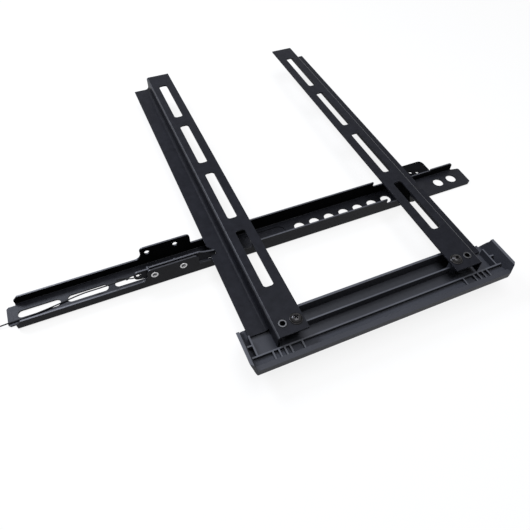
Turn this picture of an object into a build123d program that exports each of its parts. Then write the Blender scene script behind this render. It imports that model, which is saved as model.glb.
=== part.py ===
from build123d import *
import math
import os

# Fixed wall bracket for a flat screen: a folded wall rail with a cord-pulled
# lock, two hanging arms and a moulded cross bar that joins their lower ends.
# Millimetres. X runs across the wall, Y up the wall and Z out from it. The
# wall is at Z = 0 and the rail's line of holes is at Y = 0.

os.makedirs("parts", exist_ok=True)

# Sheet steel
SHEET = 1.8
BEND_IN = 0.8
BEND_OUT = BEND_IN + SHEET

# Arms
SLOT_LINES = 200.0
ARM_FACE = 32.0
ARM_EDGE = 16.0
ARM_HEIGHT = 38.8
ARM_LENGTH = 465.0
ARM_FOOT = 147.0
STRIP_DROP = 17.8
STRIP_WIDTH = 20.8
STRIP_SHORT = 21.0
STRIP_BEND = 4.5
ARM_SLOT_LENGTH = 80.0
ARM_SLOT_WIDTH = 11.0
ARM_SLOT_PITCH = 100.0
ARM_SLOT_FIRST = 97.0
ARM_SLOTS = 4
NOTCH_DEPTH = 6.6
NOTCH_SEAT = 4.2
NOTCH_RAMP = 8.4
NOTCH_LIP = 1.6

# Rail
RAIL_WIDTH = 34.0
RAIL_LEFT = -342.0
RAIL_RIGHT = 221.0
TONGUE = 9.0
TONGUE_LOW = 11.0
TONGUE_HIGH = 13.0
TONGUE_CORNER = 2.0
END_CORNER = 5.0
FLANGE_LOW = 11.6
FLANGE_SEAT = 13.0
FLANGE_MIDDLE = 20.0
FLANGE_TAIL = 11.8
EAR_TOP = 27.2
EAR_LEFT = -206.5
EAR_RIGHT = -150.0
EAR_FOOT_RADIUS = 7.0
EAR_RADIUS = 4.5
STEP_RADIUS = 1.5
SEAT_INNER = 88.0
NEAR_END = 129.0
TAB_LEFT = 127.0
TAB_RIGHT = 176.4
TAB_TOP = 9.3
TAB_REACH = 21.0
TAB_RADIUS = 6.0
TAB_HOLE = 4.2
TAB_HOLES = ((150.7, 6.4), (158.9, 3.4))
TAIL_END = 210.0
TAIL_RADIUS = 4.0
TOE_CORNER = 6.0
SLOT_LENGTH = 43.0
SLOT_WIDTH = 9.0
SLOT_PITCH = 50.0
SLOT_FIRST = -319.5
SLOTS = 5
POCKET_LEFT = -92.0
POCKET_RIGHT = -38.0
POCKET_WIDTH = 19.0
POCKET_DEPTH = 0.9
HOLE = 13.2
HOLE_PITCH = 20.0
HOLE_FIRST = -20.0
HOLES = 8
END_HOLES = (180.0, 200.0)

# Lock
LOCK_TRAVEL = 10.0
LOCK_GAP = 0.2
LOCK_RISE = 2.3
LOCK_BOTTOM = 14.2
LOCK_SLOT_PLAY = 0.3
EYELET_LEFT = -199.0
EYELET_PITCH = 31.5
EYELET_HEIGHT = 19.0
EYELET_BARREL = 5.4
EYELET_BORE = 4.4
EYELET_RECESS = 1.2
EYELET_HEAD = 8.0
EYELET_FACE = 6.6
EYELET_RIM = 0.9
EYELET_FIT = 0.05
FINGER_TOP = 27.0
FINGER_RISE = 2.2
FINGER_PLAY = 1.0
FINGER_STEP = 7.0
PULL_LENGTH = 17.0
PULL_WIDTH = 11.0
PULL_HEIGHT = 22.0
PULL_HOLE = 5.6
PULL_HOLE_IN = 5.0
SPRING_LENGTH = 28.0
SPRING_MEAN = 4.3
SPRING_WIRE = 0.7
SPRING_TURNS = 6
SPRING_STEPS = 8
WIRE_SIDES = 4
SPRING_HEIGHT = 18.0
SPRING_ROOM = 0.45
LUG_WIDTH = 6.6
LUG_RISE = 3.6
SPRING_PIN = 2.4
SPRING_PIN_LENGTH = 3.0

# Hook plates under the arms
HOOK_CLEAR = 3.0
HOOK_BOTTOM = 4.6
HOOK_HALF_TOP = 17.0
HOOK_HALF_LOW = 27.0
HOOK_PLAY = 0.6
HOOK_CORNER = 3.0

# Screws and threaded collars at the arms' lower ends
FIX_UP = 12.8
SCREW_OFFSET = -8.0
COLLAR_OFFSET = 6.0
SCREW_SHANK = 5.8
SCREW_PLAY = 0.2
SCREW_HEAD = 11.6
SCREW_FLANGE = 13.0
SCREW_FLANGE_T = 0.9
SCREW_DOME = 3.0
SCREW_CROWN = 7.6
SCREW_LENGTH = 15.0
COLLAR_RIM = 8.7
COLLAR_FACE = 7.4
COLLAR_RIM_T = 0.9
COLLAR_BARREL = 6.8
COLLAR_BORE = 5.0
COLLAR_LENGTH = 8.0

# Moulded cross bar
BAR_HALF = 149.2
BAR_NEAR = 18.2
BAR_FAR = 31.0
BAR_RIM = 36.0
NEAR_RIM = 28.0
BAR_FACE = 9.0
BAR_FACE_RADIUS = 2.0
BAR_FLOOR = 15.8
BAR_SLOPE = 10.0
BAR_WALL = 2.5
BAR_CORNER = 6.0
BAR_END_WALL = 3.2
BAR_END_RADIUS = 6.0
END_LEAN = 5.0
RIM_WIDTH = 5.2
LEDGE_NEAR = 25.6
LEDGE_FAR = 22.6
FAR_TOP = 31.0
FAR_HALF = 112.6
TIP_UP = 22.0
TIP_FLAT = 2.0
RIB = 1.6
RIDGE_TOP = 28.0
RIDGE_1_UP = 12.5
RIDGE_2_DOWN = 3.3
RIDGE_2_TOP = 26.5
BOSS = 10.0
SIDE_RIB_X = 137.6
SIDE_RIB_UP = 20.0
CROSS_RIB_UP = 9.0
SHORT_RIBS = (123.0, 117.0, 111.0, 105.5, 93.0)

# Pull cord, with the route's points from the knot to the coil
CORD = 1.4
CORD_SIDES = 6
KNOT = 4.4
KNOT_BEVEL = 0.28
KNOT_GAP = 12.0
TAIL_LENGTH = 11.0
TAIL_RISE = 2.2
LOOP_PLAY = 0.25
LOOP_RADIUS = 1.5
LOOP_EASE = 3.0
ROUTE = [
    (-236.0, -12.6, 20.2),
    (-243.5, -9.6, 15.9),
    (-253.0, -5.2, 9.9),
    (-263.0, -1.3, 5.0),
    (-274.0, 0.5, 2.9),
    (-289.0, -1.3, 2.65),
    (-309.0, -4.7, 2.75),
    (-330.0, -6.8, 2.6),
    (-349.0, -7.5, 2.95),
    (-359.5, -7.3, 1.9),
    (-368.5, -6.7, 1.35),
    (-377.0, -6.15, 1.2),
]
COIL_X = -379.0
COIL_Y = -14.6
COIL_MEAN = 15.4
COIL_LAYERS = 3
COIL_ROWS = 2
COIL_SIDES = 24
TIE = 0.5
TIE_WIDTH = 4.0

# Derived places
HALF_WEB = RAIL_WIDTH / 2
FOLD_X = SLOT_LINES / 2 + ARM_EDGE
STRIP_EDGE = FOLD_X + STRIP_WIDTH
STRIP_TOP = ARM_HEIGHT - STRIP_DROP
FACE_UNDER = ARM_HEIGHT - SHEET
HOOK_TOP = FACE_UNDER - HOOK_CLEAR
FIX_Y = FIX_UP - ARM_FOOT
SCREW_X = SLOT_LINES / 2 + SCREW_OFFSET
COLLAR_X = SLOT_LINES / 2 + COLLAR_OFFSET
SLIDER_OUT = -HALF_WEB + SHEET + LOCK_GAP
SLIDER_IN = SLIDER_OUT + SHEET
SLIDER_MID = (SLIDER_OUT + SLIDER_IN) / 2
EYELETS = (EYELET_LEFT, EYELET_LEFT + EYELET_PITCH)
EYELET_BACK = SLIDER_IN + LOCK_GAP
SPRING_OUTER = SPRING_MEAN + SPRING_WIRE
SPRING_Y = EYELET_BACK + EYELET_RIM + SPRING_ROOM + SPRING_OUTER / 2
SPRING_START = EYELET_LEFT - EYELET_HEAD / 2 - LOCK_GAP
SPRING_END = SPRING_START + SPRING_LENGTH
LUG_TOP = SPRING_HEIGHT + LUG_RISE
LUG_LOW = SPRING_HEIGHT - LUG_RISE
LUG_OUT = SPRING_Y - LUG_WIDTH / 2
LUG_IN = SPRING_Y + LUG_WIDTH / 2
ROUGH = 60.0

# Flat sides of the small turned pieces
TURNED_SIDES = 20


def side_on(sketch, low, high):
    # A profile drawn in X and Z, standing between two values of Y.
    return extrude(Plane.XZ.offset(-high) * sketch, high - low)


def end_on(sketch, low, high):
    # A profile drawn in Y and Z, running between two values of X.
    return extrude(Plane.YZ.offset(low) * sketch, high - low)


def plan(sketch, low, high):
    # A profile drawn in X and Y, standing between two heights.
    return extrude(Plane.XY.offset(low) * sketch, high - low)


def block(x, y, z):
    # A straight block between pairs of limits.
    size = (x[1] - x[0], y[1] - y[0], z[1] - z[0])
    middle = ((x[0] + x[1]) / 2, (y[0] + y[1]) / 2, (z[0] + z[1]) / 2)
    return Pos(*middle) * Box(*size)


def outline(points):
    # A closed profile; a third value on a point rounds that corner.
    sketch = make_face(Polyline(*[point[:2] for point in points], close=True))
    for point in points:
        if len(point) > 2:
            corner = min(sketch.vertices(), key=lambda v: abs(v.X - point[0]) + abs(v.Y - point[1]))
            sketch = fillet(corner, point[2])
    return sketch


def drill(diameter, x, y, low, high):
    # A round cutter through the thickness of a level face.
    return Pos(x, y, low) * Cylinder(diameter / 2, high - low, align=(Align.CENTER, Align.CENTER, Align.MIN))


def along_y(diameter, x, z, low, high):
    # A round bar that runs along Y.
    bar = Cylinder(diameter / 2, high - low, align=(Align.CENTER, Align.CENTER, Align.MIN))
    return Pos(x, low, z) * Rot(-90, 0, 0) * bar


def drum(levels):
    # A turned form with flat sides, from pairs of a radius and a height.
    body = None
    inset = math.cos(math.pi / TURNED_SIDES)
    for (low_radius, low), (high_radius, high) in zip(levels, levels[1:]):
        if high == low:
            continue
        lean = math.degrees(math.atan((low_radius - high_radius) * inset / (high - low)))
        base = Plane.XY.offset(low) * RegularPolygon(low_radius, TURNED_SIDES)
        stage = extrude(base, high - low, taper=lean)
        body = stage if body is None else body + stage
    return body


def spring_tongue(start, end):
    # A flat tongue that keeps one end of the spring in place.
    half = SPRING_PIN / 2
    across = (SPRING_Y - half, SPRING_Y + half)
    return block((start, end), across, (SPRING_HEIGHT - SHEET / 2, SPRING_HEIGHT + SHEET / 2))


def flange_top(end):
    # The stepped upper edge that both flanges share, up to the right arm.
    return [
        (RAIL_LEFT, -SHEET),
        (RAIL_LEFT, FLANGE_LOW - END_CORNER),
        (RAIL_LEFT + END_CORNER, FLANGE_LOW),
        (EAR_LEFT, FLANGE_LOW, EAR_FOOT_RADIUS),
        (EAR_LEFT, EAR_TOP, EAR_RADIUS),
        (EAR_RIGHT, EAR_TOP, EAR_RADIUS),
        (EAR_RIGHT, FLANGE_SEAT),
        (-SEAT_INNER, FLANGE_SEAT),
        (-SEAT_INNER, FLANGE_MIDDLE),
        (SEAT_INNER, FLANGE_MIDDLE),
        (SEAT_INNER, FLANGE_SEAT),
        (end, FLANGE_SEAT),
    ]


def make_rail():
    inner = HALF_WEB - SHEET
    section = outline([
        (-HALF_WEB, 0, BEND_OUT),
        (HALF_WEB, 0, BEND_OUT),
        (HALF_WEB, ROUGH),
        (inner, ROUGH),
        (inner, SHEET, BEND_IN),
        (-inner, SHEET, BEND_IN),
        (-inner, ROUGH),
        (-HALF_WEB, ROUGH),
    ])
    channel = end_on(section, RAIL_LEFT, TAIL_END)
    near = flange_top(NEAR_END) + [(NEAR_END, -SHEET)]
    tab_root = TAB_TOP - SHEET - BEND_OUT
    far = flange_top(TAB_LEFT) + [
        (TAB_LEFT, tab_root),
        (TAB_RIGHT, tab_root),
        (TAB_RIGHT, FLANGE_TAIL),
        (TAIL_END, FLANGE_TAIL, TAIL_RADIUS),
        (TAIL_END, -SHEET),
    ]
    keep = side_on(outline(near), -RAIL_WIDTH, 0) + side_on(outline(far), 0, RAIL_WIDTH)
    rail = channel & keep
    tongue_root = RAIL_LEFT + TONGUE
    tongue = outline([
        (tongue_root, -TONGUE_LOW),
        (tongue_root, TONGUE_HIGH),
        (RAIL_LEFT - TONGUE + TONGUE_CORNER, TONGUE_HIGH),
        (RAIL_LEFT - TONGUE, TONGUE_HIGH - TONGUE_CORNER),
        (RAIL_LEFT - TONGUE, -TONGUE_LOW + TONGUE_CORNER),
        (RAIL_LEFT - TONGUE + TONGUE_CORNER, -TONGUE_LOW),
    ])
    toe_near = -HALF_WEB + BEND_IN
    toe_far = inner - BEND_IN
    toe = outline([
        (NEAR_END - TONGUE, -inner + BEND_IN),
        (NEAR_END, -inner + BEND_IN),
        (NEAR_END, toe_near),
        (RAIL_RIGHT - TOE_CORNER, toe_near, TONGUE_CORNER),
        (RAIL_RIGHT - 1, toe_near + TOE_CORNER / 2, TONGUE_CORNER),
        (RAIL_RIGHT, toe_far - TONGUE_CORNER, TONGUE_CORNER),
        (TAIL_END, toe_far),
        (NEAR_END - TONGUE, toe_far),
    ])
    rail += plan(tongue, 0, SHEET)
    rail += plan(toe, 0, SHEET)
    bent = outline([
        (inner, tab_root - SHEET),
        (inner, TAB_TOP, BEND_OUT),
        (HALF_WEB + TAB_REACH, TAB_TOP),
        (HALF_WEB + TAB_REACH, TAB_TOP - SHEET),
        (HALF_WEB, TAB_TOP - SHEET, BEND_IN),
        (HALF_WEB, tab_root - SHEET),
    ])
    tab_plan = outline([
        (TAB_LEFT, 0),
        (TAB_RIGHT, 0),
        (TAB_RIGHT, HALF_WEB + TAB_REACH, TAB_RADIUS),
        (TAB_LEFT, HALF_WEB + TAB_REACH, TAB_RADIUS),
    ])
    tab = end_on(bent, TAB_LEFT, TAB_RIGHT) & plan(tab_plan, 0, ROUGH)
    for x, out in TAB_HOLES:
        tab -= drill(TAB_HOLE, x, HALF_WEB + out, 0, ROUGH)
    rail += tab
    cuts = []
    for index in range(SLOTS):
        slot = Pos(SLOT_FIRST + index * SLOT_PITCH, 0) * SlotOverall(SLOT_LENGTH, SLOT_WIDTH)
        cuts.append(plan(slot, -SHEET, 2 * SHEET))
    for x in [HOLE_FIRST + index * HOLE_PITCH for index in range(HOLES)] + list(END_HOLES):
        cuts.append(drill(HOLE, x, 0, -SHEET, 2 * SHEET))
    for x in EYELETS:
        cuts.append(along_y(EYELET_BARREL + 2 * EYELET_FIT, x, EYELET_HEIGHT, -RAIL_WIDTH, RAIL_WIDTH))
    pocket_middle = (POCKET_LEFT + POCKET_RIGHT) / 2
    pocket = Pos(pocket_middle, 0) * SlotOverall(POCKET_RIGHT - POCKET_LEFT, POCKET_WIDTH)
    cuts.append(plan(pocket, SHEET - POCKET_DEPTH, SHEET + BEND_IN))
    for cut in cuts:
        rail -= cut
    lug = block((SPRING_START - SHEET, SPRING_START), (LUG_OUT, LUG_IN), (SHEET / 2, LUG_TOP))
    return rail + lug + spring_tongue(SPRING_START - SHEET / 2, SPRING_START + SPRING_PIN_LENGTH)


def make_slider():
    top = EAR_TOP + LOCK_RISE
    body_left = EYELET_LEFT - EYELET_HEAD / 2
    tip = -(STRIP_EDGE - NOTCH_DEPTH) - FINGER_PLAY
    finger_low = FLANGE_SEAT + FINGER_RISE
    pull_low = PULL_HEIGHT - PULL_WIDTH / 2
    pull_high = PULL_HEIGHT + PULL_WIDTH / 2
    pull_left = body_left - PULL_LENGTH
    shape = outline([
        (pull_left, pull_low, PULL_WIDTH / 2 - BEND_IN),
        (pull_left, pull_high, PULL_WIDTH / 2 - BEND_IN),
        (body_left, pull_high, STEP_RADIUS / 2),
        (body_left, top, STEP_RADIUS / 2),
        (EAR_RIGHT + STEP_RADIUS, top, STEP_RADIUS),
        (EAR_RIGHT + FINGER_STEP, FINGER_TOP),
        (tip, FINGER_TOP - FINGER_RISE, STEP_RADIUS),
        (tip, finger_low, STEP_RADIUS),
        (EAR_RIGHT, finger_low),
        (EAR_RIGHT - STEP_RADIUS, LOCK_BOTTOM),
        (body_left, LOCK_BOTTOM),
    ])
    slider = side_on(shape, SLIDER_OUT, SLIDER_IN)
    width = EYELET_BARREL + LOCK_SLOT_PLAY
    for x in EYELETS:
        guide = Pos(x + LOCK_TRAVEL / 2, EYELET_HEIGHT) * SlotOverall(LOCK_TRAVEL + width, width)
        slider -= side_on(guide, SLIDER_OUT - SHEET, SLIDER_IN + SHEET)
    slider -= along_y(PULL_HOLE, pull_left + PULL_HOLE_IN, PULL_HEIGHT, SLIDER_OUT - SHEET, SLIDER_IN + SHEET)
    lug = block((SPRING_END, SPRING_END + SHEET), (SLIDER_MID, LUG_IN), (LUG_LOW, LUG_TOP))
    return slider + lug + spring_tongue(SPRING_END - SPRING_PIN_LENGTH, SPRING_END + SHEET / 2)


def make_eyelet(x):
    head = EYELET_HEAD / 2
    face = EYELET_FACE / 2
    barrel = EYELET_BARREL / 2
    bore = EYELET_BORE / 2
    front = -HALF_WEB
    eyelet = drum([
        (face, front - EYELET_RIM),
        (head, front),
        (barrel, front),
        (barrel, EYELET_BACK),
        (head, EYELET_BACK),
        (face, EYELET_BACK + EYELET_RIM),
    ])
    floor = front - EYELET_RIM + EYELET_RECESS
    eyelet -= drum([(bore, front - 2 * EYELET_RIM), (bore, floor)])
    return Pos(x, 0, EYELET_HEIGHT) * Rot(-90, 0, 0) * eyelet


def make_spring():
    # A helix of straight mitred steps, so that its many turns stay light.
    count = SPRING_TURNS * SPRING_STEPS
    step = (SPRING_LENGTH - SPRING_WIRE) / count
    radius = SPRING_MEAN / 2
    start = SPRING_START + SPRING_WIRE / 2
    points = []
    for index in range(count + 1):
        angle = 2 * math.pi * index / SPRING_STEPS
        across = radius * math.cos(angle)
        points.append((start + index * step, SPRING_Y + across, SPRING_HEIGHT + radius * math.sin(angle)))
    path = Polyline(*points)
    return sweep((path ^ 0) * RegularPolygon(SPRING_WIRE / 2, WIRE_SIDES), path, transition=Transition.RIGHT)


def make_arm():
    # The right-hand arm; the left-hand one is its mirror image.
    low = STRIP_TOP - SHEET
    wall = FOLD_X - SHEET
    inner = FOLD_X - ARM_FACE
    section = outline([
        (inner, ARM_HEIGHT),
        (FOLD_X, ARM_HEIGHT, BEND_OUT),
        (FOLD_X, STRIP_TOP, STRIP_BEND),
        (STRIP_EDGE, STRIP_TOP),
        (STRIP_EDGE, low),
        (wall, low, STRIP_BEND + SHEET),
        (wall, FACE_UNDER, BEND_IN),
        (inner, FACE_UNDER),
    ])
    foot = -ARM_FOOT
    arm = side_on(section, foot, foot + ARM_LENGTH)
    arm -= block((FOLD_X, STRIP_EDGE + SHEET), (foot - SHEET, foot + STRIP_SHORT), (0, FACE_UNDER - BEND_OUT))
    for index in range(ARM_SLOTS):
        y = foot + ARM_SLOT_FIRST + index * ARM_SLOT_PITCH
        slot = Pos(SLOT_LINES / 2, y) * Rot(0, 0, 90) * SlotOverall(ARM_SLOT_LENGTH, ARM_SLOT_WIDTH)
        arm -= plan(slot, FACE_UNDER - SHEET, ARM_HEIGHT + SHEET)
    seat_low = SLIDER_MID - NOTCH_SEAT / 2
    seat_high = SLIDER_MID + NOTCH_SEAT / 2
    notch = outline([
        (STRIP_EDGE + SHEET, seat_low - NOTCH_LIP),
        (STRIP_EDGE, seat_low - NOTCH_LIP),
        (STRIP_EDGE - NOTCH_DEPTH, seat_low, STEP_RADIUS / 2),
        (STRIP_EDGE - NOTCH_DEPTH, seat_high, STEP_RADIUS / 2),
        (STRIP_EDGE, seat_high + NOTCH_RAMP),
        (STRIP_EDGE + SHEET, seat_high + NOTCH_RAMP),
    ])
    arm -= plan(notch, low - SHEET, STRIP_TOP + SHEET)
    arm -= drill(SCREW_SHANK + 2 * SCREW_PLAY, SCREW_X, FIX_Y, FACE_UNDER - SHEET, ARM_HEIGHT + SHEET)
    arm -= drill(COLLAR_BARREL, COLLAR_X, FIX_Y, FACE_UNDER - SHEET, ARM_HEIGHT + SHEET)
    return arm


def make_hook():
    # The plate behind the arm's fold that straddles both flanges of the rail.
    outer = HALF_WEB + HOOK_PLAY
    inner = HALF_WEB - SHEET - HOOK_PLAY
    half = [
        (HOOK_HALF_TOP, HOOK_TOP),
        (HOOK_HALF_LOW, FLANGE_SEAT + HOOK_CORNER),
        (HOOK_HALF_LOW, HOOK_BOTTOM + HOOK_CORNER),
        (HOOK_HALF_LOW - HOOK_CORNER, HOOK_BOTTOM),
        (outer, HOOK_BOTTOM),
        (outer, FLANGE_SEAT),
        (inner, FLANGE_SEAT),
        (inner, HOOK_BOTTOM + HOOK_CORNER),
        (inner - HOOK_CORNER, HOOK_BOTTOM),
    ]
    mirrored = [(-point[0],) + tuple(point[1:]) for point in reversed(half)]
    return end_on(outline(half + mirrored), FOLD_X - 2 * SHEET, FOLD_X - SHEET)


def make_screw():
    flange_top_z = ARM_HEIGHT + SCREW_FLANGE_T
    screw = drum([
        (SCREW_SHANK / 2, ARM_HEIGHT - SCREW_LENGTH),
        (SCREW_SHANK / 2, ARM_HEIGHT),
        (SCREW_FLANGE / 2, ARM_HEIGHT),
        (SCREW_HEAD / 2, flange_top_z),
        (SCREW_CROWN / 2, flange_top_z + SCREW_DOME),
    ])
    return Pos(SCREW_X, FIX_Y, 0) * screw


def make_collar():
    rim_top = ARM_HEIGHT + COLLAR_RIM_T
    bottom = rim_top - COLLAR_LENGTH
    collar = drum([
        (COLLAR_BARREL / 2, bottom),
        (COLLAR_BARREL / 2, ARM_HEIGHT),
        (COLLAR_RIM / 2, ARM_HEIGHT),
        (COLLAR_FACE / 2, rim_top),
    ])
    collar -= drill(COLLAR_BORE, 0, 0, bottom - SHEET, rim_top + SHEET)
    return Pos(COLLAR_X, FIX_Y, 0) * collar


def make_bar():
    foot = -ARM_FOOT
    near = foot - BAR_NEAR
    far = foot + BAR_FAR
    tip = foot + TIP_UP
    face_low = NEAR_RIM - BAR_FACE
    floor_top = BAR_FLOOR + BAR_WALL
    inner_half = BAR_HALF - BAR_END_WALL
    lean = END_LEAN / (BAR_RIM - face_low)
    floor_half = inner_half - lean * (BAR_RIM - floor_top)
    rim_half = inner_half - lean * (BAR_RIM - NEAR_RIM)
    across = outline([
        (near, BAR_RIM),
        (near, face_low, BAR_FACE_RADIUS),
        (near + BAR_SLOPE, BAR_FLOOR),
        (far, BAR_FLOOR, BEND_IN),
        (far, BAR_RIM),
    ])
    lengthwise = outline([
        (-BAR_HALF, BAR_RIM),
        (-BAR_HALF + END_LEAN, face_low, BAR_SLOPE / 2),
        (-BAR_HALF + END_LEAN + BAR_SLOPE, BAR_FLOOR, BAR_SLOPE / 2),
        (BAR_HALF - END_LEAN - BAR_SLOPE, BAR_FLOOR, BAR_SLOPE / 2),
        (BAR_HALF - END_LEAN, face_low, BAR_SLOPE / 2),
        (BAR_HALF, BAR_RIM),
    ])
    above = outline([
        (-BAR_HALF + BAR_CORNER, near),
        (BAR_HALF - BAR_CORNER, near),
        (BAR_HALF, near + BAR_CORNER),
        (BAR_HALF, far),
        (-BAR_HALF, far),
        (-BAR_HALF, near + BAR_CORNER),
    ])
    outer = end_on(across, -BAR_HALF, BAR_HALF) & side_on(lengthwise, near, far) & plan(above, BAR_FLOOR, BAR_RIM)
    hollow_lengthwise = outline([
        (-inner_half, ROUGH),
        (-inner_half, BAR_RIM),
        (-floor_half, floor_top, BAR_END_RADIUS),
        (floor_half, floor_top, BAR_END_RADIUS),
        (inner_half, BAR_RIM),
        (inner_half, ROUGH),
    ])
    bar = outer - side_on(hollow_lengthwise, near + RIM_WIDTH, far - BAR_WALL)
    rim_lengthwise = outline([
        (-inner_half, ROUGH),
        (-inner_half, BAR_RIM),
        (-rim_half, NEAR_RIM),
        (rim_half, NEAR_RIM),
        (inner_half, BAR_RIM),
        (inner_half, ROUGH),
    ])
    bar -= side_on(rim_lengthwise, near - BAR_WALL, near + RIM_WIDTH)
    sweep_cut = outline([
        (tip, ROUGH),
        (tip, BAR_RIM - TIP_FLAT, STEP_RADIUS),
        (tip + BAR_WALL, FAR_TOP - BAR_WALL, STEP_RADIUS),
        (far - BAR_WALL, floor_top),
        (far + BAR_WALL, floor_top),
        (far + BAR_WALL, ROUGH),
    ])
    for side in (-1, 1):
        ends = sorted((side * FAR_HALF, side * (BAR_HALF + BAR_WALL)))
        bar -= end_on(sweep_cut, *ends)
    bar -= block((-BAR_HALF, BAR_HALF), (tip, far + BAR_WALL), (FAR_TOP, ROUGH))
    ridge_1 = foot + RIDGE_1_UP
    ridge_2 = foot - RIDGE_2_DOWN
    half = RIB / 2
    root = BAR_FLOOR + BAR_WALL / 2
    ledge = outline([
        (near + BAR_SLOPE / 2, root),
        (near + BAR_SLOPE / 2, LEDGE_NEAR),
        (ridge_2, LEDGE_FAR),
        (ridge_2, root),
    ])
    ribs = [
        end_on(ledge, -BAR_HALF, BAR_HALF),
        block((-FAR_HALF, FAR_HALF), (ridge_1 - half, ridge_1 + half), (root, RIDGE_TOP)),
        block((-BAR_HALF, BAR_HALF), (ridge_2 - half, ridge_2 + half), (root, RIDGE_2_TOP)),
    ]
    for side in (-1, 1):
        x = side * SIDE_RIB_X
        ribs.append(block((x - half, x + half), (ridge_2, foot + SIDE_RIB_UP), (root, RIDGE_2_TOP)))
        stub = sorted((x, side * BAR_HALF))
        cross = foot + CROSS_RIB_UP
        ribs.append(block(stub, (cross - half, cross + half), (root, RIDGE_2_TOP)))
        for distance in SHORT_RIBS:
            x = side * distance
            ribs.append(block((x - half, x + half), (near + BAR_WALL / 2, ridge_2), (root, RIDGE_2_TOP)))
    for rib in ribs:
        bar += rib & outer
    for side in (-1, 1):
        bar += drill(BOSS, side * SCREW_X, FIX_Y, root, FACE_UNDER)
    for side in (-1, 1):
        bar -= drill(SCREW_SHANK + SCREW_PLAY, side * SCREW_X, FIX_Y, BAR_FLOOR + BAR_WALL, ROUGH)
    return bar


def cord_radii(points):
    # The largest arc that each corner of the route allows.
    radii = []
    for before, here, after in zip(points, points[1:], points[2:]):
        first = Vector(*before) - Vector(*here)
        second = Vector(*after) - Vector(*here)
        turn = math.radians(180 - first.get_angle(second))
        radii.append(0.45 * min(first.length, second.length) / math.tan(turn / 2))
    return radii


def cord_section():
    # A few flats stand for the round cord.
    return RegularPolygon(CORD / 2, CORD_SIDES)


def tube(points, radii):
    # A cord along straight runs joined by tangent arcs.
    path = FilletPolyline(*points, radius=radii)
    return sweep((path ^ 0) * cord_section(), path), path.length


pull_x = EYELET_LEFT - EYELET_HEAD / 2 - PULL_LENGTH + PULL_HOLE_IN
knot_middle = (pull_x - KNOT_GAP, SLIDER_MID, PULL_HEIGHT)


def make_knot():
    lump = Box(KNOT, KNOT, KNOT)
    knot = Pos(*knot_middle) * chamfer(lump.edges(), KNOT * KNOT_BEVEL)
    x, y, z = knot_middle
    end = (x - TAIL_LENGTH, y + CORD, z + TAIL_RISE)
    line = Line((x, y + CORD, z), end)
    return knot + sweep((line ^ 0) * cord_section(), line)


def make_loop(knot):
    x, y, z = knot_middle
    cross = pull_x + PULL_HOLE / 2 - CORD
    spread = SHEET / 2 + CORD / 2 + LOOP_PLAY
    tab_end = pull_x - PULL_HOLE_IN - CORD / 2
    points = [
        (x, y - CORD / 3, z),
        (tab_end, y - spread, z),
        (cross, y - spread, z),
        (cross, y + spread, z),
        (tab_end, y + spread, z),
        (x, y + CORD / 3, z),
    ]
    loop, _ = tube(points, [LOOP_EASE, LOOP_RADIUS, LOOP_RADIUS, LOOP_EASE])
    return loop - knot


def make_coil():
    half_wide = COIL_ROWS * CORD / 2
    middle = COIL_MEAN / 2
    ring = RegularPolygon(middle + half_wide, COIL_SIDES) - RegularPolygon(middle - half_wide, COIL_SIDES)
    return Pos(COIL_X, COIL_Y, 0) * plan(ring, TIE, TIE + COIL_LAYERS * CORD)


def make_tie(coil):
    half_wide = COIL_ROWS * CORD / 2 + TIE
    height = COIL_LAYERS * CORD + 2 * TIE
    across = Pos(COIL_MEAN / 2, height / 2) * Rectangle(2 * half_wide, height)
    band = extrude(Plane.XZ * across, TIE_WIDTH / 2, both=True)
    return Pos(COIL_X, COIL_Y, 0) * Rot(0, 0, -90) * band - coil


def make_cord(knot, coil):
    points = [knot_middle] + ROUTE
    radii = cord_radii(points)
    print("cord radii", [round(radius, 1) for radius in radii])
    cord, length = tube(points, radii)
    print("cord tube length", round(length, 1), "volume", round(cord.volume, 2))
    print("section times length", round(cord_section().area * length, 2))
    return cord - knot - coil


rail = make_rail()
slider = make_slider()
right_arm = make_arm()
right_hook = make_hook()
right_screw = make_screw()
right_collar = make_collar()
knot = make_knot()
coil = make_coil()

nodes = {
    "wall_rail": rail,
    "lock_slider": slider,
    "lock_eyelet_left": make_eyelet(EYELETS[0]),
    "lock_eyelet_right": make_eyelet(EYELETS[1]),
    "lock_spring": make_spring(),
    "right_arm": right_arm,
    "right_hook_plate": right_hook,
    "right_bar_screw": right_screw,
    "right_collar": right_collar,
    "left_arm": mirror(right_arm, about=Plane.YZ),
    "left_hook_plate": mirror(right_hook, about=Plane.YZ),
    "left_bar_screw": mirror(right_screw, about=Plane.YZ),
    "left_collar": mirror(right_collar, about=Plane.YZ),
    "cross_bar": make_bar(),
    "cord_knot": knot,
    "cord_loop": make_loop(knot),
    "cord_coil": coil,
    "cord_tie": make_tie(coil),
    "pull_cord": make_cord(knot, coil),
}

for name, shape in nodes.items():
    export_step(shape, "parts/" + name + ".step")
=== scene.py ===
import math

import bmesh
import bpy
from mathutils import Matrix, Vector


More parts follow.
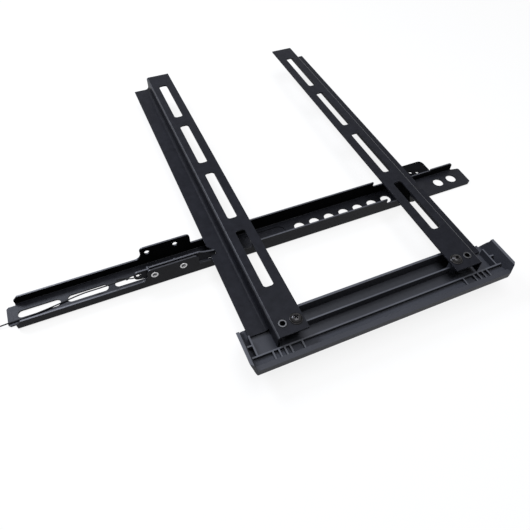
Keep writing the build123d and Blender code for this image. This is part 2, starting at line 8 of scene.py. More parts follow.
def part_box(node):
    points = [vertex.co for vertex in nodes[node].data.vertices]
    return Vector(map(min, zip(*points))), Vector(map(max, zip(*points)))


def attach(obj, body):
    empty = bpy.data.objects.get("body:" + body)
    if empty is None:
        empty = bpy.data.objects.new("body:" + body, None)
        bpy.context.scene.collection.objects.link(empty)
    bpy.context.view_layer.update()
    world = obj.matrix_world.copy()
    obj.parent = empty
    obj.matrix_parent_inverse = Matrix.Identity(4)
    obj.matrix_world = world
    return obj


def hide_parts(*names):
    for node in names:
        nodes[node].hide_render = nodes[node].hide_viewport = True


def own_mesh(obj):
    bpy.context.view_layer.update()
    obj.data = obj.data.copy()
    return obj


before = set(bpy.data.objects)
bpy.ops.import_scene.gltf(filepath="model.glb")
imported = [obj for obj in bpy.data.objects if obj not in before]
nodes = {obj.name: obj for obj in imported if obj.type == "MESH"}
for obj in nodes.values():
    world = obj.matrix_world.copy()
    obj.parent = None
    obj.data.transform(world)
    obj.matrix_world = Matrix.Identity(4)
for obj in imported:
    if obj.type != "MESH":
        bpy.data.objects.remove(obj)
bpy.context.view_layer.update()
scene = bpy.context.scene

# Sizes of the object are in millimetres, and MM turns them into the frame's metres
MM = 0.001


def mm(*values):
    # A point of the drawing in metres.
    return Vector([value * MM for value in values])


# Camera at the photograph's viewing angle
LENS = 32.603
SENSOR = 36.0
CLIP_START = 0.01
EYE = mm(-217.762, -337.725, 424.842)
CAMERA_RIGHT = Vector((0.917965, -0.396454, 0.014647))
CAMERA_DOWN = Vector((-0.304768, -0.728333, -0.613703))
CAMERA_AHEAD = Vector((0.253996, 0.558954, -0.789408))


def make_camera():
    data = bpy.data.cameras.new("camera")
    data.sensor_width = SENSOR
    data.lens = LENS
    data.clip_start = CLIP_START
    camera = bpy.data.objects.new("camera", data)
    scene.collection.objects.link(camera)
    turn = Matrix((CAMERA_RIGHT, -CAMERA_DOWN, -CAMERA_AHEAD)).transposed()
    camera.matrix_world = Matrix.Translation(EYE) @ turn.to_4x4()
    scene.camera = camera


make_camera()


# Materials

# Most of a noise texture lies between these values
NOISE_LOW = 0.3
NOISE_HIGH = 0.7
# How far the gloss of a coat and of a metal swings about its mean
COAT_SWING = 0.07
METAL_SMOOTHER = 0.08
METAL_ROUGHER = 0.1


class Finish:
    # Small helper that adds shader nodes to one material.
    def __init__(self, name):
        self.material = bpy.data.materials.new(name)
        self.material.use_nodes = True
        self.tree = self.material.node_tree
        self.shader = self.tree.nodes["Principled BSDF"]
        self.coords = self.tree.nodes.new("ShaderNodeTexCoord").outputs["Object"]

    def link(self, source, target):
        self.tree.links.new(source, target)

    def noise(self, scale, detail, rough, stretch=None):
        texture = self.tree.nodes.new("ShaderNodeTexNoise")
        texture.inputs["Scale"].default_value = scale
        texture.inputs["Detail"].default_value = detail
        texture.inputs["Roughness"].default_value = rough
        place = self.coords
        if stretch:
            mapping = self.tree.nodes.new("ShaderNodeMapping")
            mapping.inputs["Scale"].default_value = stretch
            self.link(self.coords, mapping.inputs["Vector"])
            place = mapping.outputs["Vector"]
        self.link(place, texture.inputs["Vector"])
        return texture.outputs["Fac"]

    def colour(self, value, dark, pale, low=NOISE_LOW, high=NOISE_HIGH):
        # The base colour goes from dark to pale as the value rises from low to high.
        ramp = self.tree.nodes.new("ShaderNodeValToRGB")
        stops = ((low, dark), (high, pale))
        for element, (place, tone) in zip(ramp.color_ramp.elements, stops):
            element.position = place
            element.color = (*tone, 1.0)
        self.link(value, ramp.inputs["Fac"])
        self.link(ramp.outputs["Color"], self.shader.inputs["Base Color"])

    def gloss(self, value, low, high):
        # The roughness goes from low to high with a noise.
        span = self.tree.nodes.new("ShaderNodeMapRange")
        span.inputs["From Min"].default_value = NOISE_LOW
        span.inputs["From Max"].default_value = NOISE_HIGH
        span.inputs["To Min"].default_value = low
        span.inputs["To Max"].default_value = high
        self.link(value, span.inputs["Value"])
        self.link(span.outputs["Result"], self.shader.inputs["Roughness"])

    def bump(self, height, strength, distance):
        bump = self.tree.nodes.new("ShaderNodeBump")
        bump.inputs["Strength"].default_value = strength
        bump.inputs["Distance"].default_value = distance
        self.link(height, bump.inputs["Height"])
        self.link(bump.outputs["Normal"], self.shader.inputs["Normal"])

    def set(self, **values):
        for name, value in values.items():
            self.shader.inputs[name.replace("_", " ")].default_value = value


def coat(name, dark, pale, rough, specular):
    # Powder coat: a fine grain over a slow mottle in tone and gloss.
    kit = Finish(name)
    grain = kit.noise(scale=1100.0, detail=3.0, rough=0.65)
    mottle = kit.noise(scale=120.0, detail=5.0, rough=0.6)
    kit.colour(mottle, dark, pale)
    kit.gloss(grain, rough - COAT_SWING, rough + COAT_SWING)
    kit.bump(grain, strength=0.3, distance=0.00015)
    kit.set(Specular_IOR_Level=specular)
    return kit.material


def plastic(name, dark, pale):
    # Moulded plastic: a fine grain and long flow marks along the bar.
    kit = Finish(name)
    grain = kit.noise(scale=1300.0, detail=4.0, rough=0.6)
    flow = kit.noise(scale=40.0, detail=4.0, rough=0.55, stretch=(0.35, 1.0, 1.0))
    kit.colour(flow, dark, pale)
    kit.gloss(grain, low=0.44, high=0.6)
    kit.bump(grain, strength=0.18, distance=0.0001)
    kit.set(Specular_IOR_Level=0.14)
    return kit.material


def metal(name, dark, pale, rough, metallic=1.0):
    # Plated or oiled metal with fine marks.
    kit = Finish(name)
    marks = kit.noise(scale=700.0, detail=6.0, rough=0.7)
    kit.colour(marks, dark, pale)
    kit.gloss(marks, rough - METAL_SMOOTHER, rough + METAL_ROUGHER)
    kit.bump(marks, strength=0.1, distance=0.00005)
    kit.set(Metallic=metallic)
    return kit.material


def braid(name, dark, pale):
    # Two crossed sets of fine strands around the cord.
    kit = Finish(name)
    waves = []
    for way in (1.0, -1.0):
        wave = kit.tree.nodes.new("ShaderNodeTexWave")
        wave.inputs["Scale"].default_value = 900.0
        wave.inputs["Distortion"].default_value = 0.6
        mapping = kit.tree.nodes.new("ShaderNodeMapping")
        mapping.inputs["Rotation"].default_value = (0.5 * way, 0.9 * way, 0.8 * way)
        kit.link(kit.coords, mapping.inputs["Vector"])
        kit.link(mapping.outputs["Vector"], wave.inputs["Vector"])
        waves.append(wave.outputs["Fac"])
    cross = kit.tree.nodes.new("ShaderNodeMath")
    cross.operation = "MULTIPLY"
    kit.link(waves[0], cross.inputs[0])
    kit.link(waves[1], cross.inputs[1])
    strands = cross.outputs["Value"]
    kit.colour(strands, dark, pale, low=0.05, high=0.6)
    kit.bump(strands, strength=0.5, distance=0.00015)
    kit.set(Roughness=0.75, Specular_IOR_Level=0.2)
    return kit.material


STEEL_DARK = (0.0080, 0.0083, 0.0108)
STEEL_PALE = (0.0128, 0.0133, 0.0170)
steel = coat("powder_coat", STEEL_DARK, STEEL_PALE, rough=0.40, specular=0.04)
rail_steel = coat("rail_coat", STEEL_DARK, STEEL_PALE, rough=0.38, specular=0.08)
# Paler coat on broken edges, a painted highlight where the edges catch the light
edge = coat("painted_edge_highlight", (0.052, 0.054, 0.062), (0.090, 0.093, 0.106), rough=0.36, specular=0.4)
# Paler coat painted on the arms' outer bends as a highlight
fold_highlight_coat = coat("painted_fold_highlight", (0.018, 0.0187, 0.022), (0.030, 0.0312, 0.037), rough=0.45, specular=0.18)
# Near-black coat painted where faces lie in shade
shade = coat("shaded_coat", (0.0034, 0.0034, 0.0038), (0.0052, 0.0052, 0.0058), rough=0.6, specular=0.008)
# Paler coat painted on upward rims as a highlight
rim_highlight_coat = coat("painted_rim_highlight", (0.040, 0.041, 0.048), (0.066, 0.068, 0.078), rough=0.38, specular=0.2)
bar_skin = plastic("moulded_plastic", (0.024, 0.0255, 0.031), (0.033, 0.0345, 0.0416))
# Paler plastic painted on the bar's edges and rib tops as a highlight
bar_highlight_coat = plastic("painted_bar_highlight", (0.056, 0.058, 0.067), (0.076, 0.079, 0.090))
nickel = metal("nickel_plate", (0.38, 0.38, 0.385), (0.54, 0.54, 0.545), rough=0.24)
zinc = metal("dull_zinc", (0.034, 0.035, 0.037), (0.058, 0.059, 0.062), rough=0.38)
black_oxide = metal("black_oxide", (0.012, 0.0115, 0.012), (0.032, 0.031, 0.032), rough=0.24, metallic=0.85)
spring_wire = metal("spring_wire", (0.42, 0.42, 0.43), (0.58, 0.58, 0.59), rough=0.28)
cord_skin = braid("braided_cord", (0.009, 0.009, 0.01), (0.03, 0.031, 0.035))
band_skin = coat("soft_band", (0.012, 0.012, 0.013), (0.02, 0.02, 0.021), rough=0.6, specular=0.25)


# Mesh helpers

# Vertices nearer than this are one, in metres, on a solid's copy and on a turned piece
SOLID_WELD = 2e-6
TURNED_WELD = 1e-7
# Neighbouring faces that turn by less than this become one
FLAT_ANGLE = math.radians(0.6)
# Edges that turn by more than this are broken
SHARP_ANGLE = math.radians(38.0)
BEVEL_STEPS = 2
FLAT_FACE_WEIGHT = 100
# Fineness of a thin tube along its curve and around it
TUBE_STEPS = 4
TUBE_RINGS = 1


def add(name, mesh, materials, slot, body, *stands_for):
    # A new piece of the object, with its finish, its body and the nodes it stands for.
    piece = bpy.data.objects.new(name, mesh)
    scene.collection.objects.link(piece)
    for material in materials:
        mesh.materials.append(material)
    if stands_for:
        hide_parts(*stands_for)
    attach(piece, body)
    return piece


def settle(piece):
    # The piece's mesh with its modifiers applied.
    graph = bpy.context.evaluated_depsgraph_get()
    mesh = bpy.data.meshes.new_from_object(piece.evaluated_get(graph))
    piece.modifiers.clear()
    piece.data = mesh
    return piece


def soften(name, node, materials, slot, body, width, shape=None):
    # A copy of a solid with its sharp edges broken, after an optional change of shape.
    mesh = nodes[node].data.copy()
    mesh.materials.clear()
    form = bmesh.new()
    form.from_mesh(mesh)
    bmesh.ops.remove_doubles(form, verts=form.verts, dist=SOLID_WELD)
    bmesh.ops.dissolve_limit(form, angle_limit=FLAT_ANGLE, verts=form.verts, edges=form.edges)
    if shape:
        shape(form)
    for face in form.faces:
        face.smooth = True
        face.material_index = 0
    form.to_mesh(mesh)
    form.free()
    piece = add(name, mesh, materials, slot, body, node)
    bevel = piece.modifiers.new("edge", "BEVEL")
    bevel.width = width * MM
    bevel.segments = BEVEL_STEPS
    bevel.limit_method = "ANGLE"
    bevel.angle_limit = SHARP_ANGLE
    bevel.use_clamp_overlap = True
    # The bevel's faces take the last finish in the list, which on most pieces is a paler coat painted on as
    # an edge highlight
    bevel.material = len(materials) - 1
    flat = piece.modifiers.new("flat", "WEIGHTED_NORMAL")
    flat.mode = "FACE_AREA"
    flat.weight = FLAT_FACE_WEIGHT
    return settle(piece)


def paint(piece, material, chosen):
    # Another finish on the chosen faces of a piece.
    finishes = piece.data.materials
    if material.name not in finishes:
        finishes.append(material)
    index = finishes.find(material.name)
    for face in piece.data.polygons:
        if chosen(face):
            face.material_index = index


def lathe(profile, steps, place, axis="Z"):
    # A closed profile of (radius, height, finish) turned about an axis through a place.
    form = bmesh.new()
    rings = []
    for index in range(steps):
        angle = 2 * math.pi * index / steps
        ring = []
        for point in profile:
            across = point[0] * MM
            height = point[1] * MM
            ring.append(form.verts.new((across * math.cos(angle), across * math.sin(angle), height)))
        rings.append(ring)
    count = len(profile)
    for index, ring in enumerate(rings):
        after = rings[(index + 1) % steps]
        for step in range(count):
            quad = (ring[step], after[step], after[(step + 1) % count], ring[(step + 1) % count])
            face = form.faces.new(quad)
            face.smooth = True
            face.material_index = profile[step][2] if len(profile[step]) > 2 else 0
    bmesh.ops.remove_doubles(form, verts=form.verts, dist=TURNED_WELD)
    bmesh.ops.recalc_face_normals(form, faces=form.faces)
    if axis == "Y":
        quarter = Matrix.Rotation(math.radians(90), 3, "X")
        bmesh.ops.rotate(form, verts=form.verts, matrix=quarter)
    bmesh.ops.translate(form, verts=form.verts, vec=place)
    mesh = bpy.data.meshes.new("turned")
    form.to_mesh(mesh)
    form.free()
    return mesh


def arc(middle, radius, start, end, steps):
    # Points of an arc in a profile, from one angle to another in degrees.
    points = []
    for index in range(steps + 1):
        angle = math.radians(start + (end - start) * index / steps)
        points.append((middle[0] + radius * math.cos(angle), middle[1] + radius * math.sin(angle)))
    return points


def smooth_curve(name, points, radius, steps, rings, cyclic=False):
    # A round tube on a smooth curve with the points as its control points.
    data = bpy.data.curves.new(name, "CURVE")
    data.dimensions = "3D"
    spline = data.splines.new("NURBS")
    spline.points.add(len(points) - 1)
    for target, point in zip(spline.points, points):
        target.co = (*point, 1.0)
    # Set before the points, these would leave straight runs
    spline.order_u = 3
    spline.use_endpoint_u = not cyclic
    spline.use_cyclic_u = cyclic
    spline.resolution_u = steps
    data.bevel_depth = radius
    data.bevel_resolution = rings
    data.use_fill_caps = True
    curve = bpy.data.objects.new(name, data)
    scene.collection.objects.link(curve)
    return curve


def swept(points, radius, cyclic=False):
    # A round tube on a smooth curve, as a mesh.
    holder = smooth_curve("path", points, radius, TUBE_STEPS, TUBE_RINGS, cyclic)
    graph = bpy.context.evaluated_depsgraph_get()
    mesh = bpy.data.meshes.new_from_object(holder.evaluated_get(graph))
    bpy.data.objects.remove(holder)
    for face in mesh.polygons:
        face.use_smooth = True
    return mesh


def node_box(node):
    # A node's lowest and highest corners in millimetres.
    low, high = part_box(node)
    return Vector(low) / MM, Vector(high) / MM


# Wall rail
# The upper rims of standing sheets catch the light, which is painted on them as a paler highlight
RIM_LEVEL = 6.0
UPWARD = 0.85
# The far flange's inner side and the tab behind the right arm are almost black in the photograph, and a
# near-black painted shade goes on them
TAB_LEFT = 126.5
TAB_FOOT = 17.4
FAR_SIDE = 9.0
FACING = -0.6
RAIL_BREAK = 0.3


def is_rim(face):
    return face.normal.z > UPWARD and face.center.z > RIM_LEVEL * MM


def is_shaded(face):
    tab = face.center.x > TAB_LEFT * MM and face.center.y > TAB_FOOT * MM
    inner = face.normal.y < FACING and face.center.y > FAR_SIDE * MM
    return tab or inner


rail = soften("rail_sheet", "wall_rail", [rail_steel, edge], "coated_steel", "bracket", RAIL_BREAK)
paint(rail, rim_highlight_coat, is_rim)
paint(rail, shade, is_shaded)


# Arms
# Their slots' round ends become flat with small corners, as in the photograph
SLOT_LINE = 100.0
SLOT_HALF_WIDTH = 5.5
SLOT_HALF_LENGTH = 40.0
SLOT_MIDDLES = (-50.0, 50.0, 150.0, 250.0)
SLOT_CORNER = 3.2
SLOT_SLACK = 0.05
# The outer bend along each arm's face is painted paler as a highlight
FOLD_LEVEL = 35.5
FOLD_TURN = 0.3
ARM_BREAK = 0.35


def flat_slot_ends(form):
    straight = SLOT_HALF_LENGTH - SLOT_HALF_WIDTH
    for vert in form.verts:
        across = abs(abs(vert.co.x / MM) - SLOT_LINE)
        if across > SLOT_HALF_WIDTH + SLOT_SLACK:
            continue
        for middle in SLOT_MIDDLES:
            along = vert.co.y / MM - middle
            if straight - SLOT_SLACK < abs(along) < SLOT_HALF_LENGTH + SLOT_SLACK:
                past = min(max(across - SLOT_HALF_WIDTH + SLOT_CORNER, 0.0), SLOT_CORNER)
                drop = SLOT_CORNER - math.sqrt(SLOT_CORNER ** 2 - past ** 2)
                vert.co.y = (middle + math.copysign(SLOT_HALF_LENGTH - drop, along)) * MM


def is_fold(face):
    turned = abs(face.normal.x) > FOLD_TURN and face.normal.z > FOLD_TURN
    outer = abs(face.center.x) > SLOT_LINE * MM
    return turned and outer and face.center.z > FOLD_LEVEL * MM


def make_arm(side):
    name = side + "_arm_sheet"
    node = side + "_arm"
    arm = soften(name, node, [steel, edge], "coated_steel", "bracket", ARM_BREAK, flat_slot_ends)
    paint(arm, fold_highlight_coat, is_fold)


make_arm("left")
make_arm("right")


# Hook plates, in the near-black painted shade coat, as they lie in shadow
HOOK_BREAK = 0.3
soften("left_hook_sheet", "left_hook_plate", [shade], "coated_steel", "bracket", HOOK_BREAK)
soften("right_hook_sheet", "right_hook_plate", [shade], "coated_steel", "bracket", HOOK_BREAK)


# Lock slider
# The finger reaches the bottom of its notch in the arm's strip
FINGER_REACH = 0.85
FINGER_END = 4.0
SLIDER_BREAK = 0.25


def long_finger(form):
    tip = max(vert.co.x for vert in form.verts)
    for vert in form.verts:
        if vert.co.x > tip - FINGER_END * MM:
            vert.co.x += FINGER_REACH * MM


slider = soften(
    "slider_sheet",
    "lock_slider",
    [steel, edge],
    "coated_steel",
    "lock",
    SLIDER_BREAK,
    long_finger,
)
# The slider's upper rims get the same painted highlight
paint(slider, rim_highlight_coat, is_rim)


# Moulded bar
# The narrow tops of its ribs and end walls catch the light, which is painted on them as a paler highlight
RIB_LEVEL = 26.0
RIB_NEAR = -159.5
BAR_BREAK = 0.45


def is_rib_top(face):
    raised = face.normal.z > UPWARD and face.center.z > RIB_LEVEL * MM
    return raised and face.center.y > RIB_NEAR * MM


bar = soften("bar_moulding", "cross_bar", [bar_skin, bar_highlight_coat], "bar_plastic", "bracket", BAR_BREAK)
paint(bar, bar_highlight_coat, is_rib_top)


# Eyelets: blind rivets with a rolled rim and a sunk pin
RING_STEPS = 40
RING_ROUND = 0.45
EYELET_BARREL = 2.7
EYELET_BORE = 2.3
EYELET_BACK = 0.7
BORE_DEPTH = 1.15
# The pin's radius and its depth below the rim, from foot to crown
PIN_OUTLINE = ((1.55, 1.2), (1.5, 0.75), (1.1, 0.6))
PIN_TOP = 0.55
# Places of the finishes in the eyelet's list
BORE_FINISH = 1
PIN_FINISH = 2


def make_eyelet(side):
    node = "lock_eyelet_" + side
    low, high = node_box(node)
    half = (high.y - low.y) / 2
    head = (high.x - low.x) / 2
    seat = half - 2 * RING_ROUND
    profile = [(0.0, -half), (head - EYELET_BACK, -half), (head, -half + RING_ROUND), (head, -seat)]
    profile += [(EYELET_BARREL, -seat), (EYELET_BARREL, seat)]
    profile += arc((head - RING_ROUND, half - RING_ROUND), RING_ROUND, start=-90, end=90, steps=8)
    profile += arc((EYELET_BORE + RING_ROUND, half - RING_ROUND), RING_ROUND, start=90, end=180, steps=6)
    profile.append((EYELET_BORE, half - BORE_DEPTH, BORE_FINISH))
    profile += [(radius, half - depth, PIN_FINISH) for radius, depth in PIN_OUTLINE]
    profile.append((0.0, half - PIN_TOP))
    mesh = lathe(profile, RING_STEPS, (low + high) / 2 * MM, "Y")
    add("eyelet_ring_" + side, mesh, [nickel, black_oxide, zinc], "nickel", "bracket", node)


make_eyelet("left")
make_eyelet("right")


# Collars: a rolled rim on a barrel with a threaded bore
COLLAR_BARREL = 3.4
COLLAR_RIM_T = 0.9
COLLAR_RIM_IN = 0.2
COLLAR_LIP = 2.95
COLLAR_FOOT = 2.7
COLLAR_TURNS = 7
COLLAR_ROOT = 2.78
COLLAR_CREST = 2.5
COLLAR_THREAD_TOP = 0.8
COLLAR_PLAIN = 1.2


def make_collar(side):
    node = side + "_collar"
    low, high = node_box(node)
    length = high.z - low.z
    rim = (high.x - low.x) / 2
    under = length - COLLAR_RIM_T
    profile = [(COLLAR_BARREL, 0.0), (COLLAR_BARREL, under), (rim - COLLAR_RIM_IN, under)]
    profile += arc((rim - RING_ROUND, length - RING_ROUND), RING_ROUND, start=-70, end=90, steps=8)
    profile += arc((COLLAR_LIP, length - RING_ROUND), RING_ROUND, start=90, end=180, steps=5)
    pitch = (length - COLLAR_PLAIN) / COLLAR_TURNS
    for index in range(COLLAR_TURNS):
        top = length - COLLAR_THREAD_TOP - index * pitch
        profile += [(COLLAR_ROOT, top), (COLLAR_CREST, top - pitch / 2)]
    profile.append((COLLAR_FOOT, 0.0))
    place = mm((low.x + high.x) / 2, (low.y + high.y) / 2, low.z)
    mesh = lathe(profile, RING_STEPS, place)
    add("collar_ring_" + side, mesh, [zinc], "nickel", "bracket", node)


make_collar("left")
make_collar("right")


# Screws: a pan head on a washer flange, with a crossed recess
SCREW_STEPS = 48
ARM_TOP = 38.8
SCREW_TIP = 2.3
SCREW_TIP_RISE = 0.8
SCREW_CREST = 2.9
SCREW_ROOT = 2.45
SCREW_TURNS = 12
SCREW_PITCH = 0.9
ROOT_RISE = 0.25
CREST_RISE = 0.65
# Radius and height over the arm's face, from the washer flange up the head's side
HEAD_OUTLINE = [
    (6.3, 0.0),
    (6.5, 0.2),
    (6.45, 0.55),
    (5.9, 0.85),
    (5.62, 0.95),
    (5.5, 1.5),
    (5.2, 2.2),
    (4.6, 2.95),
    (3.7, 3.5),
]
# Radius and depth below the head's top
CROWN_OUTLINE = ((2.6, 0.12), (1.3, 0.02), (0.0, 0.0))
RECESS_ANGLES = (25.0, 115.0)
RECESS_LENGTH = 6.2
RECESS_WIDTH = 1.5
RECESS_DEPTH = 1.9
RECESS_TAPER = 0.55
CUTTER_HEIGHT = 3.0
# Place of the recess's finish in the screw's list: the recess is painted near black as shade
RECESS_FINISH = 1


def recess_cutter(place, angle):
    # A tapered bar that sinks one stroke of the cross below a place.
    form = bmesh.new()
    bmesh.ops.create_cube(form, size=1.0)
    for vert in form.verts:
        taper = 1.0 if vert.co.z > 0 else RECESS_TAPER
        across = vert.co.x * RECESS_LENGTH * taper
        wide = vert.co.y * RECESS_WIDTH * taper
        vert.co = mm(across, wide, vert.co.z * CUTTER_HEIGHT)
    for face in form.faces:
        face.material_index = RECESS_FINISH
    turn = Matrix.Rotation(math.radians(angle), 3, "Z")
    bmesh.ops.rotate(form, verts=form.verts, matrix=turn)
    sunk = place + mm(0, 0, CUTTER_HEIGHT / 2 - RECESS_DEPTH)
    bmesh.ops.translate(form, verts=form.verts, vec=sunk)
    mesh = bpy.data.meshes.new("cutter")
    mesh.materials.append(black_oxide)
    mesh.materials.append(shade)
    form.to_mesh(mesh)
    form.free()
    cutter = bpy.data.objects.new("cutter", mesh)
    scene.collection.objects.link(cutter)
    return cutter


def make_screw(side):
    node = side + "_bar_screw"
    low, high = node_box(node)
    place = mm((low.x + high.x) / 2, (low.y + high.y) / 2, ARM_TOP)
    bottom = low.z - ARM_TOP
    top = high.z - ARM_TOP
    profile = [(0.0, bottom), (SCREW_TIP, bottom), (SCREW_CREST, bottom + SCREW_TIP_RISE)]
    for index in range(SCREW_TURNS):
        height = bottom + SCREW_PITCH + index * SCREW_PITCH
        profile += [(SCREW_ROOT, height + ROOT_RISE), (SCREW_CREST, height + CREST_RISE)]
    profile.append((SCREW_CREST, 0.0))
    profile += HEAD_OUTLINE
    profile += [(radius, top - depth) for radius, depth in CROWN_OUTLINE]
    mesh = lathe(profile, SCREW_STEPS, place)
    screw = add("pan_screw_" + side, mesh, [black_oxide, shade], "screw_steel", "bracket", node)
    for angle in RECESS_ANGLES:
        cutter = recess_cutter(place + mm(0, 0, top), angle)
        cut = screw.modifiers.new("recess", "BOOLEAN")
        cut.operation = "DIFFERENCE"
        cut.solver = "EXACT"
        cut.object = cutter
        settle(screw)
        bpy.data.objects.remove(cutter)


make_screw("left")
make_screw("right")


# Lock spring between the rail's lug and the slider's lug
SPRING_WIRE = 0.7
SPRING_MEAN = 4.3
SPRING_TURNS = 9
SPRING_POINTS = 16
CLOSED_TURNS = 1.0
CLOSED_LEAD = 0.55 * SPRING_WIRE
# A smooth curve runs inside its control points
SPRING_SWELL = 1.012


def make_spring():
    low, high = node_box("lock_spring")
    middle = (low + high) / 2
    start = low.x + SPRING_WIRE / 2
    run = high.x - low.x - SPRING_WIRE
    open_run = run - 2 * CLOSED_LEAD * CLOSED_TURNS
    open_turns = SPRING_TURNS - 2 * CLOSED_TURNS
    radius = SPRING_MEAN / 2 * SPRING_SWELL
    points = []
    for index in range(SPRING_TURNS * SPRING_POINTS + 1):
        turns = index / SPRING_POINTS
        angle = 2 * math.pi * turns
        first = min(turns, CLOSED_TURNS) * CLOSED_LEAD
        last = max(0.0, turns - SPRING_TURNS + CLOSED_TURNS) * CLOSED_LEAD
        between = min(max(turns - CLOSED_TURNS, 0.0), open_turns) / open_turns
        along = start + first + last + between * open_run
        across = middle.y + radius * math.cos(angle)
        height = middle.z + radius * math.sin(angle)
        points.append(mm(along, across, height))
    mesh = swept(points, SPRING_WIRE / 2 * MM)
    spring = add("spring_coil", mesh, [spring_wire], "spring_steel", "bracket", "lock_spring")
    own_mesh(spring)


make_spring()


# Pull cord: the route's points from the knot, then the turns of the put-away coil
CORD = 1.4
CORD_STEPS = 6
CORD_RINGS = 3
KNOT_PLACE = (-227.0, -14.1, 22.0)
ROUTE = [
    KNOT_PLACE,
    (-236.0, -12.6, 20.2),
    (-243.5, -9.6, 15.9),
    (-253.0, -5.2, 9.9),
    (-263.0, -1.3, 5.0),
    (-274.0, 0.5, 2.9),
    (-289.0, -1.3, 2.65),
    (-309.0, -4.7, 2.75),
    (-330.0, -6.8, 2.6),
    (-349.0, -7.5, 2.95),
    (-359.5, -7.3, 1.9),
    (-368.5, -6.7, 1.35),
    (-375.5, -6.25, 1.2),
]
COIL_MIDDLE = (-379.0, -14.6)
OUTER_ROW = 8.4
INNER_ROW = 7.0
LAYERS = (1.2, 2.6, 4.0)
# Angle, radius and height where the winding changes row or layer
WINDING = [
    (95, OUTER_ROW, LAYERS[0]),
    (410, OUTER_ROW, LAYERS[0]),
    (450, INNER_ROW, LAYERS[0]),
    (730, INNER_ROW, LAYERS[0]),
    (770, INNER_ROW, LAYERS[1]),
    (1050, INNER_ROW, LAYERS[1]),
    (1090, OUTER_ROW, LAYERS[1]),
    (1370, OUTER_ROW, LAYERS[1]),
    (1410, OUTER_ROW, LAYERS[2]),
    (1690, OUTER_ROW, LAYERS[2]),
    (1730, INNER_ROW, LAYERS[2]),
    (1960, INNER_ROW, LAYERS[2]),
]
# Angle, radius and height of the cord's free end, which rises over the coil
FREE_END = ((1982, 6.7, 4.8), (1998, 6.2, 5.6))
TURN_POINTS = 18
# A smooth curve runs inside its control points
COIL_SWELL = 4 / (3 + math.cos(2 * math.pi / TURN_POINTS))


def winding(angle):
    # Radius and height of the coil at an angle.
    for (start, radius, height), (end, next_radius, next_height) in zip(WINDING, WINDING[1:]):
        if start <= angle <= end:
            share = (angle - start) / (end - start)
            ease = share * share * (3 - 2 * share)
            return radius + (next_radius - radius) * ease, height + (next_height - height) * ease
    return WINDING[-1][1:]


def coil_point(angle, radius, height):
    turned = math.radians(angle)
    x = COIL_MIDDLE[0] + radius * math.cos(turned)
    y = COIL_MIDDLE[1] + radius * math.sin(turned)
    return mm(x, y, height)


def cord_points():
    points = [mm(*point) for point in ROUTE]
    angle = WINDING[0][0]
    while angle <= WINDING[-1][0]:
        radius, height = winding(angle)
        points.append(coil_point(angle, radius * COIL_SWELL, height))
        angle += 360 / TURN_POINTS
    return points + [coil_point(*end) for end in FREE_END]


cord_path = cord_points()
cord = smooth_curve("pull_cord_line", cord_path, CORD / 2 * MM, CORD_STEPS, CORD_RINGS)
cord.data.materials.append(cord_skin)
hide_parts("pull_cord", "cord_coil")
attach(cord, "lock")


# Knots at both ends of the cord, and the tail of the first
KNOT_POINTS = 36
KNOT_ACROSS = 0.36
KNOT_ALONG = 0.62
KNOT_SIZE = 1.28
KNOT_STRAND = 0.62
END_KNOT_SIZE = 0.85
END_KNOT_STRAND = 0.5
TAIL = [
    (-227.0, -12.9, 22.2),
    (-230.5, -12.5, 22.7),
    (-234.0, -12.9, 23.6),
    (-238.0, -12.6, 24.2),
]


def knot_mesh(place, size, strand):
    # An overhand knot: one trefoil turn of the cord drawn tight.
    points = []
    for index in range(KNOT_POINTS):
        t = 2 * math.pi * index / KNOT_POINTS
        x = math.sin(t) + 2 * math.sin(2 * t)
        y = math.cos(t) - 2 * math.cos(2 * t)
        z = -math.sin(3 * t)
        points.append(place + mm(z * KNOT_ALONG, x * KNOT_ACROSS, y * KNOT_ACROSS) * size)
    return swept(points, strand * MM, cyclic=True)


first_knot = knot_mesh(mm(*KNOT_PLACE), KNOT_SIZE, KNOT_STRAND)
last_knot = knot_mesh(cord_path[-1], END_KNOT_SIZE, END_KNOT_STRAND)
tail_mesh = swept([mm(*point) for point in TAIL], KNOT_STRAND * MM)
knot = add("cord_knot_turns", first_knot, [cord_skin], "cord", "lock", "cord_knot")
end_knot = add("cord_end_knot", last_knot, [cord_skin], "cord", "lock")
tail = add("cord_tail", tail_mesh, [cord_skin], "cord", "lock")


# Loop of cord through the hole of the slider's tab
LOOP_FOOT = -226.0
LOOP_NECK = -223.6
LOOP_START = -221.0
LOOP_MIDDLE = -217.5
LOOP_FOOT_HALF = 0.4
LOOP_NECK_IN = 0.5
LOOP_BEND = 1.0
LOOP_CORNER_IN = 0.2
LOOP_BULGE = 0.15


def loop_points():
    low, high = node_box("cord_loop")
    cross = high.x - CORD / 2
    knot_y, knot_z = KNOT_PLACE[1:]
    halves = []
    for side, inward in ((low.y + CORD / 2, 1.0), (high.y - CORD / 2, -1.0)):
        halves.append([
            (LOOP_FOOT, knot_y - LOOP_FOOT_HALF * inward),
            (LOOP_NECK, side + LOOP_NECK_IN * inward),
            (LOOP_START, side),
            (LOOP_MIDDLE, side),
            (cross - LOOP_BEND, side),
            (cross, side + LOOP_CORNER_IN * inward),
        ])
    near, far = halves
    outline = near + [(cross + LOOP_BULGE, knot_y)] + far[::-1]
    return [mm(x, y, knot_z) for x, y in outline]


loop_mesh = swept(loop_points(), CORD / 2 * MM)
loop = add("cord_loop_strand", loop_mesh, [cord_skin], "cord", "lock", "cord_loop")


# Soft band that holds the coil
BAND_BREAK = 0.2
band = soften("coil_band", "cord_tie", [band_skin], "tie", "lock", BAND_BREAK)


# Stage: a white floor that keeps a faint shadow, and soft light, in metres
FLOOR_HALF = 6.0
FLOOR_LEVEL = -0.0006
# The floor's tone where it lights the object, and where the camera or gloss shows it
FLOOR_LIT = 0.45
FLOOR_SHOWN = 0.86
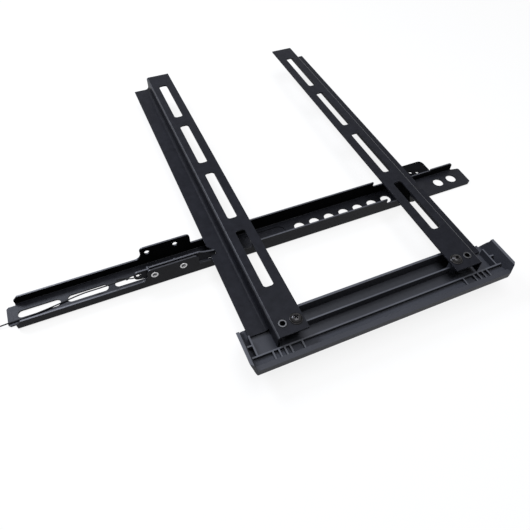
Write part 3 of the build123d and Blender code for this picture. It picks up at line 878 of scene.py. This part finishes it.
# The floor glows white where it shows, with less room for shadow farther out
GLOW_NEAR = 0.86
GLOW_FAR = 1.0
GLOW_START = 0.5
GLOW_END = 1.3
# The world's strength where it lights the object, and where it shows
WORLD_LIT = 0.08
WORLD_SHOWN = 1.0


def shows_background(tree):
    # One for rays from the camera, from gloss and through glass, else nought.
    path = tree.nodes.new("ShaderNodeLightPath")
    either = path.outputs["Is Camera Ray"]
    for kind in ("Is Glossy Ray", "Is Transmission Ray"):
        larger = tree.nodes.new("ShaderNodeMath")
        larger.operation = "MAXIMUM"
        tree.links.new(either, larger.inputs[0])
        tree.links.new(path.outputs[kind], larger.inputs[1])
        either = larger.outputs["Value"]
    return either


def mapped(tree, value, low, high, start=0.0, end=1.0):
    # A value from start to end mapped to one from low to high.
    span = tree.nodes.new("ShaderNodeMapRange")
    span.inputs["From Min"].default_value = start
    span.inputs["From Max"].default_value = end
    span.inputs["To Min"].default_value = low
    span.inputs["To Max"].default_value = high
    tree.links.new(value, span.inputs["Value"])
    return span.outputs["Result"]


def mixed(tree, share, first, second):
    # Two shaders mixed by a share of the second.
    mix = tree.nodes.new("ShaderNodeMixShader")
    tree.links.new(share, mix.inputs["Fac"])
    tree.links.new(first, mix.inputs[1])
    tree.links.new(second, mix.inputs[2])
    return mix.outputs["Shader"]


def floor_material():
    # White where it shows, with a faint shadow, plain grey as a light, and clear from below.
    material = bpy.data.materials.new("white_floor")
    material.use_nodes = True
    tree = material.node_tree
    tree.nodes.clear()
    output = tree.nodes.new("ShaderNodeOutputMaterial")
    diffuse = tree.nodes.new("ShaderNodeBsdfDiffuse")
    glow = tree.nodes.new("ShaderNodeEmission")
    glow.inputs["Strength"].default_value = 1.0
    clear = tree.nodes.new("ShaderNodeBsdfTransparent")
    place = tree.nodes.new("ShaderNodeTexCoord")
    side = tree.nodes.new("ShaderNodeNewGeometry")
    shown = shows_background(tree)
    tree.links.new(mapped(tree, shown, FLOOR_LIT, FLOOR_SHOWN), diffuse.inputs["Color"])
    away = tree.nodes.new("ShaderNodeVectorMath")
    away.operation = "LENGTH"
    tree.links.new(place.outputs["Object"], away.inputs[0])
    white = mapped(tree, away.outputs["Value"], GLOW_NEAR, GLOW_FAR, GLOW_START, GLOW_END)
    share = tree.nodes.new("ShaderNodeMath")
    share.operation = "MULTIPLY"
    tree.links.new(shown, share.inputs[0])
    tree.links.new(white, share.inputs[1])
    top = mixed(tree, share.outputs["Value"], diffuse.outputs["BSDF"], glow.outputs["Emission"])
    both = mixed(tree, side.outputs["Backfacing"], top, clear.outputs["BSDF"])
    tree.links.new(both, output.inputs["Surface"])
    return material


def make_floor():
    corners = []
    for x, y in ((-1, -1), (1, -1), (1, 1), (-1, 1)):
        corners.append((x * FLOOR_HALF, y * FLOOR_HALF, FLOOR_LEVEL))
    mesh = bpy.data.meshes.new("floor")
    mesh.from_pydata(corners, [], [(0, 1, 2, 3)])
    mesh.materials.append(floor_material())
    floor = bpy.data.objects.new("floor", mesh)
    scene.collection.objects.link(floor)


def make_world():
    world = bpy.data.worlds.new("studio")
    scene.world = world
    world.use_nodes = True
    tree = world.node_tree
    back = tree.nodes["Background"]
    back.inputs["Color"].default_value = (1.0, 1.0, 1.0, 1.0)
    strength = mapped(tree, shows_background(tree), WORLD_LIT, WORLD_SHOWN)
    tree.links.new(strength, back.inputs["Strength"])


def softbox(name, place, target, size, power, colour):
    data = bpy.data.lights.new(name, "AREA")
    data.color = colour
    data.shape = "RECTANGLE"
    data.size = size[0]
    data.size_y = size[1]
    data.energy = power
    lamp = bpy.data.objects.new(name, data)
    scene.collection.objects.link(lamp)
    lamp.location = place
    aim = Vector(target) - Vector(place)
    lamp.rotation_euler = aim.to_track_quat("-Z", "Y").to_euler()


make_floor()
make_world()
softbox(
    "top",
    place=(0.1, -0.1, 1.35),
    target=(0.0, -0.08, 0.0),
    size=(1.0, 0.8),
    power=14.0,
    colour=(0.95, 0.965, 1.0),
)
softbox(
    "sheen",
    place=(0.16, 0.42, 1.25),
    target=(-0.1, -0.12, 0.0),
    size=(0.5, 0.35),
    power=3.5,
    colour=(0.9, 0.93, 1.0),
)
softbox(
    "back_left",
    place=(-0.64, 0.76, 0.95),
    target=(-0.38, -0.03, 0.0),
    size=(0.5, 0.4),
    power=16.0,
    colour=(0.82, 0.87, 1.0),
)

scene.view_settings.view_transform = "Standard"
